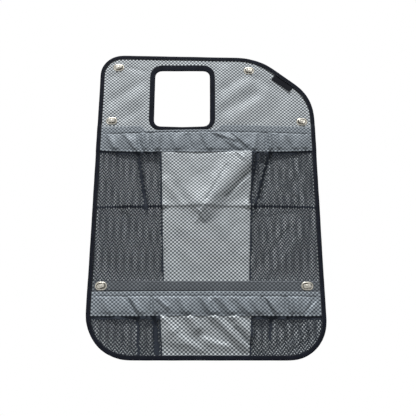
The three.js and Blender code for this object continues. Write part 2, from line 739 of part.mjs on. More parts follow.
// Seam strip over the lower edges of the upper pocket's sheets, with its own
// lower edge turned under as a hem
const stripProfile = [
  [stripBottom, flat], [stripBottom + STRIP_HEM, flat], [stripBottom + STRIP_HEM, flat + CLOTH],
  [stripBottom + CLOTH, flat + CLOTH], [stripBottom + CLOTH, flat + stripLift],
  [stripTop, flat + stripLift], [stripTop, stripFront], [stripBottom, stripFront],
];
const stripSections = [left + sheetInset, right - sheetInset].map((x) => stripProfile.map(([y, z]) => [x, y, z]));
const stripCap = THREE.ShapeUtils.triangulateShape(stripProfile.map(([y, z]) => new THREE.Vector2(y, z)), []);
let strip = solidOf(loft(stripSections, false, stripCap));
for (const fastener of fasteners.filter((f) => f.onStrip)) {
  strip = strip.subtract(solidOf(plate(holeFor(fastener), [], 0, stripFront + 1)));
}
addPiece('seam_strip', geometryOf(strip), stripSilver);

for (const pocket of [upper, lower]) {
  addPocketFront(pocket);
  addBand(pocket);
}

// Label: a blank folded ribbon, its two ends held under the binding
const labelFold = [
  [0, 0], [LABEL_SHOWING + LABEL_TUCKED, 0], [LABEL_SHOWING + LABEL_TUCKED, LABEL_CLOTH],
  [LABEL_CLOTH, LABEL_CLOTH], [LABEL_CLOTH, LABEL_CLOTH + GAP],
  [LABEL_SHOWING + LABEL_TUCKED, LABEL_CLOTH + GAP], [LABEL_SHOWING + LABEL_TUCKED, labelStack], [0, labelStack],
];
const labelCap = THREE.ShapeUtils.triangulateShape(labelFold.map(([y, z]) => new THREE.Vector2(y, z)), []);
const chamferMiddle = chamferStart.clone().lerp(chamferEnd, 0.5);
const labelMiddle = chamferMiddle.addScaledVector(chamferOut, -(BINDING_WIDTH + LABEL_SHOWING));
const labelEnds = [LABEL_LENGTH / 2 - LABEL_SHIFT, -LABEL_LENGTH / 2 - LABEL_SHIFT];
const labelSections = labelEnds.map((along) => labelFold.map(([out, z]) => [
  labelMiddle.x + chamferAlong.x * along + chamferOut.x * out,
  labelMiddle.y + chamferAlong.y * along + chamferOut.y * out,
  flat + z,
]));
addPiece('label_tag', loft(labelSections, false, labelCap), blackTape);

for (const fastener of fasteners) {
  const seat = fastener.onStrip ? stripFront + GAP : flat;
  const wingSeat = seat + EYELET_CROWN + GAP;
  const pieces = [
    addPiece(`eyelet_${fastener.name}`, eyelet(seat), nickel),
    addPiece(`clinch_ring_${fastener.name}`, clinchRing(), nickel),
    addPiece(`button_base_${fastener.name}`, buttonBase(wingSeat), nickel),
    addPiece(`button_wing_${fastener.name}`, buttonWing(wingSeat), nickel),
  ];
  pieces.forEach((piece) => piece.position.set(fastener.x, fastener.y, 0));
  pieces[3].rotation.z = THREE.MathUtils.degToRad(fastener.turn);
}

// Upright, with the origin in the middle of its bounding box
pouch.rotation.x = Math.PI / 2;
pouch.updateMatrixWorld(true);
const middle = new THREE.Box3().setFromObject(pouch, true).getCenter(new THREE.Vector3());
pouch.position.sub(middle);

export default pouch;
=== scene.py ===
import math

import bmesh
import bpy
from mathutils import Matrix, Vector, noise
from mathutils.bvhtree import BVHTree
from mathutils.kdtree import KDTree


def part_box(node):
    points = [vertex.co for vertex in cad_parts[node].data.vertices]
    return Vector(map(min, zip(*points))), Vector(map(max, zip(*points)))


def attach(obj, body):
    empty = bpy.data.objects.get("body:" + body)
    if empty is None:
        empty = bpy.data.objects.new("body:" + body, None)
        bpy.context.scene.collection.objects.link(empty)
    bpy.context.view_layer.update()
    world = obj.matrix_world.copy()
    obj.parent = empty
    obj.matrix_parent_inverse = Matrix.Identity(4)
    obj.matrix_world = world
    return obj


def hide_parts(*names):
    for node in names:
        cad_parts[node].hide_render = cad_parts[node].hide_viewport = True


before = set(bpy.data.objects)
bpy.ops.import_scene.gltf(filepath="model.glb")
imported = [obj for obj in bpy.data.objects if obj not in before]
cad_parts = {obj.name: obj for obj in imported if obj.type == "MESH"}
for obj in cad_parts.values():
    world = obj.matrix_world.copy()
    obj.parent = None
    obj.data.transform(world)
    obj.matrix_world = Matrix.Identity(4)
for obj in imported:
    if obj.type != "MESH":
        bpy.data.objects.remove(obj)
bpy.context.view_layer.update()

scene = bpy.context.scene
mm = 0.001

# Camera: a little below the pouch's middle and looking up at it by 15 degrees, as in the photograph,
# from 1.1 m away. Its lens is the 500 px focal length of the 416 px frame on a 36 mm sensor.
camera_tilt = math.radians(15)
camera_reach = 1.1433
aim = Vector((0.0045, 0.0069, -0.02945))
camera = bpy.data.objects.new("camera", bpy.data.cameras.new("camera"))
camera.data.sensor_width = 36
camera.data.lens = 500 / 416 * 36
camera.location = aim + camera_reach * Vector((0, -math.cos(camera_tilt), -math.sin(camera_tilt)))
camera.rotation_euler = (math.pi / 2 + camera_tilt, 0, 0)
scene.collection.objects.link(camera)
scene.camera = camera
scene.view_settings.view_transform = "Standard"


def linear(code):
    """Linear colour, with alpha, from an sRGB hex code such as "8f949b"."""
    shares = [int(code[i:i + 2], 16) / 255 for i in (0, 2, 4)]
    return tuple(s / 12.92 if s <= 0.04045 else ((s + 0.055) / 1.055) ** 2.4 for s in shares) + (1.0,)


def add_node(tree, kind, settings=None, links=None):
    """Adds a node, sets its properties and inputs, and links its inputs to other nodes' outputs."""
    node = tree.nodes.new(kind)
    for name, value in (settings or {}).items():
        if isinstance(name, str) and hasattr(node, name):
            setattr(node, name, value)
        else:
            node.inputs[name].default_value = value
    for name, socket in (links or {}).items():
        tree.links.new(socket, node.inputs[name])
    return node


# Studio: one even lamp high up, which rakes down over the folds, a weak soft one from the left, and a
# pale floor well under the pouch, which hangs. What the camera sees around it is white.
floor_level = -0.75
floor_radius = 2.4
floor_white = 0.86           # how pale the floor looks
floor_stray = 0.3            # and how pale it is to the light that it throws back up at the pouch
stray_light = 0.11           # even light from all round
lamps = [
    # name, kind, place, width (the sun's as an angle), power
    ("key_lamp", "SUN", (-0.15, -1.0, 1.85), math.radians(8), 4.5),
    ("fill_lamp", "AREA", (-1.5, -1.8, 0.2), 1.4, 5),
]
for name, kind, place_of, width, power in lamps:
    lamp = bpy.data.objects.new(name, bpy.data.lights.new(name, kind))
    if kind == "SUN":
        lamp.data.angle = width
    else:
        lamp.data.size = width
    lamp.data.energy = power
    lamp.location = place_of
    lamp.rotation_euler = Vector(place_of).to_track_quat("Z", "Y").to_euler()
    scene.collection.objects.link(lamp)


def seen_plainly(tree):
    """1 for a look straight at something, or by way of metal or glass, and 0 for stray light."""
    path_kind = add_node(tree, "ShaderNodeLightPath")
    seen = path_kind.outputs["Is Camera Ray"]
    for look in ("Is Glossy Ray", "Is Transmission Ray"):
        either = add_node(tree, "ShaderNodeMath", {"operation": "MAXIMUM"},
                          {0: seen, 1: path_kind.outputs[look]})
        seen = either.outputs[0]
    return seen


world = bpy.data.worlds.new("studio")
scene.world = world
world.use_nodes = True
tree = world.node_tree
tree.nodes.clear()
seen = seen_plainly(tree)
around = add_node(tree, "ShaderNodeBackground", {"Color": (1, 1, 1, 1), "Strength": stray_light})
backdrop = add_node(tree, "ShaderNodeBackground", {"Color": (1, 1, 1, 1), "Strength": 1.0})
sky = add_node(tree, "ShaderNodeMixShader", {}, {0: seen, 1: around.outputs[0], 2: backdrop.outputs[0]})
add_node(tree, "ShaderNodeOutputWorld", {}, {"Surface": sky.outputs[0]})

floor_mesh = bmesh.new()
bmesh.ops.create_circle(floor_mesh, cap_ends=True, segments=96, radius=floor_radius,
                        matrix=Matrix.Translation((0, 0, floor_level)))
floor_data = bpy.data.meshes.new("floor")
floor_mesh.to_mesh(floor_data)
floor_mesh.free()
floor = bpy.data.objects.new("floor", floor_data)
scene.collection.objects.link(floor)

# Painted floor: matt and pale, and it runs out into the white around it at its rim
paint = bpy.data.materials.new("matt_floor_paint")
paint.use_nodes = True
tree = paint.node_tree
tree.nodes.clear()
spot = add_node(tree, "ShaderNodeTexCoord")
rim = add_node(tree, "ShaderNodeVectorMath", {"operation": "LENGTH"}, {0: spot.outputs["Object"]})
rim = add_node(tree, "ShaderNodeMapRange", {"From Min": 0.9, "From Max": floor_radius - 0.1},
               {0: rim.outputs["Value"]})
seen = seen_plainly(tree)
rim = add_node(tree, "ShaderNodeMath", {"operation": "MULTIPLY"}, {0: rim.outputs[0], 1: seen})
pale = add_node(tree, "ShaderNodeMapRange", {"To Min": floor_stray, "To Max": floor_white}, {0: seen})
matt = add_node(tree, "ShaderNodeBsdfDiffuse", {}, {"Color": pale.outputs[0]})
white = add_node(tree, "ShaderNodeEmission", {"Color": (1, 1, 1, 1), "Strength": 1.0})
mixed = add_node(tree, "ShaderNodeMixShader", {},
                 {0: rim.outputs[0], 1: matt.outputs[0], 2: white.outputs[0]})
add_node(tree, "ShaderNodeOutputMaterial", {}, {"Surface": mixed.outputs[0]})
floor_data.materials.append(paint)


# Back panel: one piece of silver basket-weave cloth with the handle window cut out of it, laid flat and
# held at its six buttons, so that it pulls into shallow diagonal waves between them.
panel_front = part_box("back_panel")[0].y
panel_thickness = (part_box("back_panel")[1].y - panel_front) / mm
middle_z = 0.55              # the outline's centre line above the frame's origin
outline_corners = [          # across, up, radius
    (-260, -364, 98), (260, -364, 82), (260, 249, 111), (126, 356, 144), (-260, 364, 52),
]
window_corners = [(-125, 172.5, 15), (-58, 170.5, 134), (9, 172.5, 15), (9, 319.5, 15), (-125, 319.5, 15)]
button_places = {
    name[len("button_wing_"):]: sum(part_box(name), Vector()) / 2 / mm
    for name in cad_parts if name.startswith("button_wing_")
}
panel_cell = 6               # the cloth is cut this fine, so that it can wave
panel_waves = [              # from, to, height, half width on the left and on the right of the way
    (-205, 326, -246, 290, -1.4, 5, 8),
    (-190, 330, -140, 316, -0.9, 6, 6),
    (-142, 300, -232, 240, -1.4, 8, 12),
    (-150, 262, -240, 205, 1.3, 12, 12),
    (-140, 232, -206, 190, -1.1, 9, 9),
    (60, 350, 34, 300, 0.7, 12, 12),
    (98, 308, 26, 262, -1.3, 8, 12),
    (112, 288, 24, 226, 1.2, 10, 14),
    (122, 256, 22, 204, -1.6, 12, 15),
    (150, 262, 62, 184, 1.1, 18, 14),
    (124, 300, 196, 262, -1.0, 12, 18),
    (196, 250, 128, 184, -0.8, 18, 18),
    (236, 240, 226, 204, 0.6, 10, 10),
]


def rounded_path(corners, inset=0, step=4):
    """Points (x, z, nx, nz) round an outline with rounded corners, about step mm apart, in mm."""
    arcs = []
    for i, (x, z, radius) in enumerate(corners):
        here = Vector((x, z))
        into = (here - Vector(corners[i - 1][:2])).normalized()
        away = (Vector(corners[(i + 1) % len(corners)][:2]) - here).normalized()
        turn = into.angle(away)
        normal = Vector((into.y, -into.x))
        start = here - into * radius * math.tan(turn / 2)
        arcs.append((start - normal * radius, radius, math.atan2(normal.y, normal.x), turn))
    points = []
    for i, (centre, radius, first, turn) in enumerate(arcs):
        for k in range(9):
            normal = Vector((math.cos(first + turn * k / 8), math.sin(first + turn * k / 8)))
            points.append((centre + normal * (radius - inset), normal))
        after, radius_after, first_after, _ = arcs[(i + 1) % len(arcs)]
        normal_after = Vector((math.cos(first_after), math.sin(first_after)))
        end = after + normal_after * (radius_after - inset)
        last = points[-1][0]
        count = int((end - last).length / step)
        points += [(last.lerp(end, k / count), normal_after) for k in range(1, count)]
    return [(p.x, p.y + middle_z, n.x, n.y) for p, n in points]


def smoothstep(low, high, value):
    share = min(1.0, max(0.0, (value - low) / (high - low)))
    return share * share * (3 - 2 * share)


def fold_height(folds, x, z):
    """What a list of folds adds to a cloth at a point. Each runs out softly at both ends."""
    total = 0.0
    for x1, z1, x2, z2, height, left, right in folds:
        length = math.hypot(x2 - x1, z2 - z1)
        along = ((x - x1) * (x2 - x1) + (z - z1) * (z2 - z1)) / length
        aside = ((x2 - x1) * (z - z1) - (z2 - z1) * (x - x1)) / length
        over = max(-along, along - length, 0)
        width = left if aside > 0 else right
        away = (aside / width) ** 2 + (over / (0.6 * max(left, right) + 3)) ** 2
        if away < 9:
            total += height * math.exp(-away)
    return total


def place(x, z, out):
    """A point in metres from millimetres across, up, and out from the panel's front."""
    return Vector((x * mm, panel_front - out * mm, z * mm))


def slice_up(bm, axis, step):
    """Cuts a mesh across one axis every step metres."""
    low = min(v.co[axis] for v in bm.verts)
    high = max(v.co[axis] for v in bm.verts)
    normal = Vector((0, 0, 0))
    normal[axis] = 1
    for i in range(1, int((high - low) / step) + 1):
        cut = normal * (low + i * step)
        parts = bm.verts[:] + bm.edges[:] + bm.faces[:]
        bmesh.ops.bisect_plane(bm, geom=parts, dist=1e-6, plane_co=cut, plane_no=normal)


def merged_copy(node):
    """A bmesh of a CAD node's own mesh with its doubled corners merged."""
    bm = bmesh.new()
    bm.from_mesh(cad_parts[node].data)
    bmesh.ops.remove_doubles(bm, verts=bm.verts, dist=1e-6)
    return bm


def finish_piece(name, bm, material, body="pouch"):
    """Turns a bmesh into a smooth-shaded object that rides on a body."""
    data = bpy.data.meshes.new(name)
    bm.to_mesh(data)
    bm.free()
    data.materials.append(material)
    data.shade_smooth()
    piece = bpy.data.objects.new(name, data)
    scene.collection.objects.link(piece)
    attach(piece, body)
    return piece


# Woven polyester with a metallic coating on its upright floats: light and dark cells in turn, each a bundle
# of threads that crosses the next. The light cells are a little metallic, so that a fold that faces the
# light shines.
cell_width = 4.45 * mm
cell_height = 4.0 * mm
thread_pitch = 0.9 * mm      # real threads are about 0.3 mm, too fine to show


def woven_cloth(name, light, mid, dark, roughness, metallic):
    material = bpy.data.materials.new(name)
    material.use_nodes = True
    tree = material.node_tree
    tree.nodes.clear()
    spot = add_node(tree, "ShaderNodeTexCoord")
    axes = add_node(tree, "ShaderNodeSeparateXYZ", {}, {0: spot.outputs["Object"]})
    warp = add_node(tree, "ShaderNodeMath", {"operation": "MULTIPLY", 1: math.pi / cell_width},
                    {0: axes.outputs["X"]})
    warp = add_node(tree, "ShaderNodeMath", {"operation": "SINE"}, {0: warp.outputs[0]})
    weft = add_node(tree, "ShaderNodeMath", {"operation": "MULTIPLY", 1: math.pi / cell_height},
                    {0: axes.outputs["Z"]})
    weft = add_node(tree, "ShaderNodeMath", {"operation": "SINE"}, {0: weft.outputs[0]})
    cells = add_node(tree, "ShaderNodeMath", {"operation": "MULTIPLY"},
                     {0: warp.outputs[0], 1: weft.outputs[0]})
    share = add_node(tree, "ShaderNodeMapRange", {"From Min": -1.0, "From Max": 1.0}, {0: cells.outputs[0]})
    ramp = add_node(tree, "ShaderNodeValToRGB", {}, {0: share.outputs[0]})
    ramp.color_ramp.elements[0].position = 0.36
    ramp.color_ramp.elements[0].color = linear(dark)
    ramp.color_ramp.elements[1].position = 0.66
    ramp.color_ramp.elements[1].color = linear(light)
    ramp.color_ramp.elements.new(0.5).color = linear(mid)
    # the coating is a little uneven over the width of the cloth
    cloudy = add_node(tree, "ShaderNodeTexNoise", {"Scale": 22.0, "Detail": 3.0},
                      {"Vector": spot.outputs["Object"]})
    cloudy = add_node(tree, "ShaderNodeMapRange",
                      {"From Min": 0.3, "From Max": 0.7, "To Min": 0.9, "To Max": 1.08},
                      {0: cloudy.outputs["Fac"]})
    colour = add_node(tree, "ShaderNodeVectorMath", {"operation": "SCALE"},
                      {0: ramp.outputs["Color"], "Scale": cloudy.outputs[0]})
    # threads lie upright in the light cells and across in the dark ones
    upright = add_node(tree, "ShaderNodeMath", {"operation": "MULTIPLY", 1: 2 * math.pi / thread_pitch},
                       {0: axes.outputs["X"]})
    upright = add_node(tree, "ShaderNodeMath", {"operation": "SINE"}, {0: upright.outputs[0]})
    across = add_node(tree, "ShaderNodeMath", {"operation": "MULTIPLY", 1: 2 * math.pi / thread_pitch},
                      {0: axes.outputs["Z"]})
    across = add_node(tree, "ShaderNodeMath", {"operation": "SINE"}, {0: across.outputs[0]})
    threads = add_node(tree, "ShaderNodeMix", {"data_type": "FLOAT"},
                       {0: share.outputs[0], 2: across.outputs[0], 3: upright.outputs[0]})
    raised = add_node(tree, "ShaderNodeMath", {"operation": "ABSOLUTE"}, {0: cells.outputs[0]})
    height = add_node(tree, "ShaderNodeMath", {"operation": "MULTIPLY_ADD", 1: 0.25},
                      {0: threads.outputs[0], 2: raised.outputs[0]})
    bump = add_node(tree, "ShaderNodeBump", {"Strength": 0.35, "Distance": 0.3 * mm},
                    {"Height": height.outputs[0]})
    coated = add_node(tree, "ShaderNodeMapRange",
                      {"From Min": 0.45, "From Max": 0.6, "To Min": 0.1, "To Max": metallic},
                      {0: share.outputs[0]})
    cloth = add_node(tree, "ShaderNodeBsdfPrincipled", {
        "Roughness": roughness, "Specular IOR Level": 0.2,
    }, {"Base Color": colour.outputs[0], "Metallic": coated.outputs[0], "Normal": bump.outputs[0]})
    add_node(tree, "ShaderNodeOutputMaterial", {}, {"Surface": cloth.outputs[0]})
    return material


silver_cloth = woven_cloth("silver_woven_polyester", "c6cccf", "81878b", "464b50", 0.55, 0.2)

edge_finder = KDTree(len(rounded_path(outline_corners)) + len(rounded_path(window_corners)))
for i, (x, z, _, _) in enumerate(rounded_path(outline_corners) + rounded_path(window_corners)):
    edge_finder.insert((x, 0, z), i)
edge_finder.balance()


def panel_wave(x, z):
    """How far the back panel stands out of its plane: it is flat at its bindings and buttons."""
    near = edge_finder.find((x, 0, z))[2]
    loose = smoothstep(14, 32, near) * smoothstep(150, 190, z)
    for spot in button_places.values():
        loose *= smoothstep(12, 26, math.hypot(x - spot.x, z - spot.z))
    wave = fold_height(panel_waves, x, z)
    wave += (0.9 * noise.noise(Vector((x / 60, z / 45, 3.1)))
             + 0.25 * noise.noise(Vector((x / 17, z / 17, 7.7))))
    return wave * loose


bm = merged_copy("back_panel")
slice_up(bm, 0, panel_cell * mm)
slice_up(bm, 2, panel_cell * mm)
for v in bm.verts:
    v.co.y -= panel_wave(v.co.x / mm, v.co.z / mm) * mm
panel = finish_piece("silver_panel", bm, silver_cloth)
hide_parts("back_panel")


# Edge binding: 25 mm navy-black grosgrain tape folded over the cut edge and sewn through near its inner
# edge. It goes round the bare upper part and the pockets in two lengths.
binding_width = 11
tape_thread_inset = 1.7      # the seam runs this far inside the tape's inner edge


def ribbed_tape(name, colour, rib, roughness):
    """Grosgrain: fine ribs across the tape, matt."""
    material = bpy.data.materials.new(name)
    material.use_nodes = True
    tree = material.node_tree
    tree.nodes.clear()
    spot = add_node(tree, "ShaderNodeTexCoord")
    fine = add_node(tree, "ShaderNodeTexNoise", {"Scale": 900.0, "Detail": 2.0},
                    {"Vector": spot.outputs["Object"]})
    broad = add_node(tree, "ShaderNodeTexNoise", {"Scale": 60.0, "Detail": 3.0},
                     {"Vector": spot.outputs["Object"]})
    axes = add_node(tree, "ShaderNodeSeparateXYZ", {}, {0: spot.outputs["Object"]})
    ribs = []
    for axis in ("X", "Z"):
        turn = add_node(tree, "ShaderNodeMath", {"operation": "MULTIPLY", 1: 2 * math.pi / rib},
                        {0: axes.outputs[axis]})
        ribs.append(add_node(tree, "ShaderNodeMath", {"operation": "SINE"}, {0: turn.outputs[0]}))
    ribs = add_node(tree, "ShaderNodeMath", {"operation": "MULTIPLY"},
                    {0: ribs[0].outputs[0], 1: ribs[1].outputs[0]})
    height = add_node(tree, "ShaderNodeMath", {"operation": "MULTIPLY_ADD", 1: 0.5},
                      {0: ribs.outputs[0], 2: fine.outputs["Fac"]})
    ramp = add_node(tree, "ShaderNodeMapRange",
                    {"From Min": 0.3, "From Max": 0.7, "To Min": 0.8, "To Max": 1.35},
                    {0: broad.outputs["Fac"]})
    shade = add_node(tree, "ShaderNodeVectorMath", {"operation": "SCALE", 0: linear(colour)[:3]},
                     {"Scale": ramp.outputs[0]})
    bump = add_node(tree, "ShaderNodeBump", {"Strength": 0.4, "Distance": 0.25 * mm},
                    {"Height": height.outputs[0]})
    cloth = add_node(tree, "ShaderNodeBsdfPrincipled", {
        "Roughness": roughness, "Specular IOR Level": 0.08,
    }, {"Base Color": shade.outputs[0], "Normal": bump.outputs[0]})
    add_node(tree, "ShaderNodeOutputMaterial", {}, {"Surface": cloth.outputs[0]})
    return material


black_tape = ribbed_tape("navy_grosgrain_tape", "14171f", 1.1 * mm, 0.8)


def soften_tape(bm, longest, ripple):
    """Joins the CAD triangles to quads, halves the long ones and ripples the tape a little."""
    bmesh.ops.join_triangles(bm, faces=bm.faces[:], angle_face_threshold=0.3, angle_shape_threshold=1.2)
    while True:
        long_edges = [e for e in bm.edges if e.calc_length() > longest]
        if not long_edges:
            break
        bmesh.ops.subdivide_edges(bm, edges=long_edges, cuts=1, use_grid_fill=True)
    for v in bm.verts:
        x, y, z = v.co / mm
        push = noise.noise(Vector((x / 9, z / 9, 1.3)))
        v.co.x += ripple * mm * noise.noise(Vector((x / 30, z / 30, 5.2)))
        v.co.z += ripple * mm * noise.noise(Vector((x / 30, z / 30, 9.4)))
        if v.co.y < panel_front - 0.5 * mm:
            v.co.y -= 0.5 * ripple * mm * (push + 0.3)


tape_pieces = {}
for end, length in (("upper", 0.81), ("lower", 1.52)):
    bm = merged_copy(f"edge_binding_{end}")
    soften_tape(bm, 12 * mm, 0.35)
    if end == "upper":
        # its two ends are lapped over the other length's, a little wider and thicker than it
        middle_y = sum(v.co.y for v in bm.verts) / len(bm.verts)
        join = min(v.co.z for v in bm.verts)
        for v in bm.verts:
            near = 1 - smoothstep(1, 14, (v.co.z - join) / mm)
            wider = math.copysign(0.35, v.co.x)
            thicker = math.copysign(0.4, v.co.y - middle_y)
            v.co += Vector((wider, thicker, -7)) * mm * near
    tape_pieces[f"edge_tape_{end}"] = BVHTree.FromBMesh(bm)
    tape = finish_piece(f"edge_tape_{end}", bm, black_tape)
    round_off = tape.modifiers.new("fold", "SUBSURF")
    round_off.levels = round_off.render_levels = 1
    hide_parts(f"edge_binding_{end}")

# Window binding: the same tape round the handle window, wider at the top where it was turned twice.
bm = merged_copy("window_binding")
soften_tape(bm, 12 * mm, 0.3)
tape_pieces["window_tape"] = BVHTree.FromBMesh(bm)
window_tape = finish_piece("window_tape", bm, black_tape)
round_off = window_tape.modifiers.new("fold", "SUBSURF")
round_off.levels = round_off.render_levels = 1
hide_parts("window_binding")


# Sewing thread: spun polyester, dark on the tapes and grey on the silver cloth, in stitches of 3 mm.
def spun_thread(name, colour):
    material = bpy.data.materials.new(name)
    material.use_nodes = True
    tree = material.node_tree
    tree.nodes.clear()
    spot = add_node(tree, "ShaderNodeTexCoord")
    twist = add_node(tree, "ShaderNodeTexWave",
                     {"Scale": 900.0, "Distortion": 1.0, "bands_direction": "DIAGONAL"},
                     {"Vector": spot.outputs["Object"]})
    ramp = add_node(tree, "ShaderNodeMapRange", {"To Min": 0.7, "To Max": 1.2}, {0: twist.outputs["Fac"]})
    shade = add_node(tree, "ShaderNodeVectorMath", {"operation": "SCALE", 0: linear(colour)[:3]},
                     {"Scale": ramp.outputs[0]})
    thread = add_node(tree, "ShaderNodeBsdfPrincipled", {"Roughness": 0.6, "Sheen Weight": 0.3},
                      {"Base Color": shade.outputs[0]})
    add_node(tree, "ShaderNodeOutputMaterial", {}, {"Surface": thread.outputs[0]})
    return material


dark_thread = spun_thread("dark_polyester_thread", "15171d")
grey_thread = spun_thread("grey_polyester_thread", "4a4e56")
stitch_pitch = 4.2
stitch_length = 3.0
stitch_radius = 0.28


def sew(into, cloth, path, lift=0.1):
    """Lays stitches along a path of (x, z) points in mm on the cloth's front, as small long beads."""
    bead_data = bpy.data.meshes.new("bead")
    points = [Vector(p) for p in path]
    travelled = 0.0
    due = stitch_pitch
    for a, b in zip(points, points[1:]):
        length = (b - a).length
        while travelled + length > due:
            spot = a.lerp(b, (due - travelled) / length)
            half = (b - a).normalized() * stitch_length / 2
            ends = []
            for p in (spot - half, spot + half):
                hit = cloth.ray_cast(Vector((p.x * mm, -0.3, p.y * mm)), Vector((0, 1, 0)))[0]
                if hit:
                    ends.append(hit - Vector((0, lift * mm, 0)))
            if len(ends) == 2:
                run = ends[1] - ends[0]
                turn = run.to_track_quat("X", "Z").to_matrix().to_4x4()
                size = Matrix.Diagonal((run.length / 2, stitch_radius * mm, stitch_radius * mm, 1))
                bead = bmesh.new()
                bmesh.ops.create_uvsphere(bead, u_segments=6, v_segments=5, radius=1,
                                          matrix=Matrix.Translation((ends[0] + ends[1]) / 2) @ turn @ size)
                bead.to_mesh(bead_data)
                bead.free()
                into.from_mesh(bead_data)
            due += stitch_pitch
        travelled += length
    bpy.data.meshes.remove(bead_data)


tape_seams = bmesh.new()
seam_path = rounded_path(outline_corners, inset=binding_width - tape_thread_inset)
seam_path = [(x, z) for x, z, _, _ in seam_path]
for end in ("upper", "lower"):
    sew(tape_seams, tape_pieces[f"edge_tape_{end}"], seam_path + seam_path[:1])
window_seam = []
for x, z, nx, nz in rounded_path(window_corners):
    width = 13 + abs(nz) * (3 if nz > 0 else -3)
    window_seam.append((x + nx * (width - tape_thread_inset), z + nz * (width - tape_thread_inset)))
sew(tape_seams, tape_pieces["window_tape"], window_seam + window_seam[:1])
finish_piece("tape_seams", tape_seams, dark_thread)


# Label ribbon: a loop of black satin caught in the chamfer's binding. It is blank.
def satin_ribbon():
    """Satin: long floats along one way only, smooth and glossy in streaks."""
    material = bpy.data.materials.new("black_satin_ribbon")
    material.use_nodes = True
    tree = material.node_tree
    tree.nodes.clear()
    spot = add_node(tree, "ShaderNodeTexCoord")
    lined = add_node(tree, "ShaderNodeMapping",
                     {"Rotation": (0, math.atan2(107, 134), 0), "Scale": (60, 60, 2400)},
                     {"Vector": spot.outputs["Object"]})
    floats = add_node(tree, "ShaderNodeTexNoise", {"Scale": 1.0, "Detail": 2.0}, {"Vector": lined.outputs[0]})
    ramp = add_node(tree, "ShaderNodeValToRGB", {}, {0: floats.outputs["Fac"]})
    ramp.color_ramp.elements[0].color = linear("0d0e13")
    ramp.color_ramp.elements[1].color = linear("1a1c23")
    bump = add_node(tree, "ShaderNodeBump", {"Strength": 0.3, "Distance": 0.1 * mm},
                    {"Height": floats.outputs["Fac"]})
    cloth = add_node(tree, "ShaderNodeBsdfPrincipled", {"Roughness": 0.6, "Specular IOR Level": 0.05},
                     {"Base Color": ramp.outputs["Color"], "Normal": bump.outputs[0]})
    add_node(tree, "ShaderNodeOutputMaterial", {}, {"Surface": cloth.outputs[0]})
    return material


bm = merged_copy("label_tag")
bmesh.ops.join_triangles(bm, faces=bm.faces[:], angle_face_threshold=0.3, angle_shape_threshold=1.2)
label_middle = sum((v.co for v in bm.verts), Vector()) / len(bm.verts)
for _ in range(4):
    long_edges = [e for e in bm.edges if e.calc_length() > 3 * mm]
    bmesh.ops.subdivide_edges(bm, edges=long_edges, cuts=1, use_grid_fill=True)
for v in bm.verts:
    reach = (v.co - label_middle).length / mm
    v.co.y -= (0.5 * noise.noise(v.co / (12 * mm)) + 0.0009 * reach * reach) * mm * 0.6
label = finish_piece("label_ribbon", bm, satin_ribbon())
soft_edge = label.modifiers.new("fold", "BEVEL")
soft_edge.width = 0.12 * mm
soft_edge.segments = 2
soft_edge.limit_method = "ANGLE"
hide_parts("label_tag")


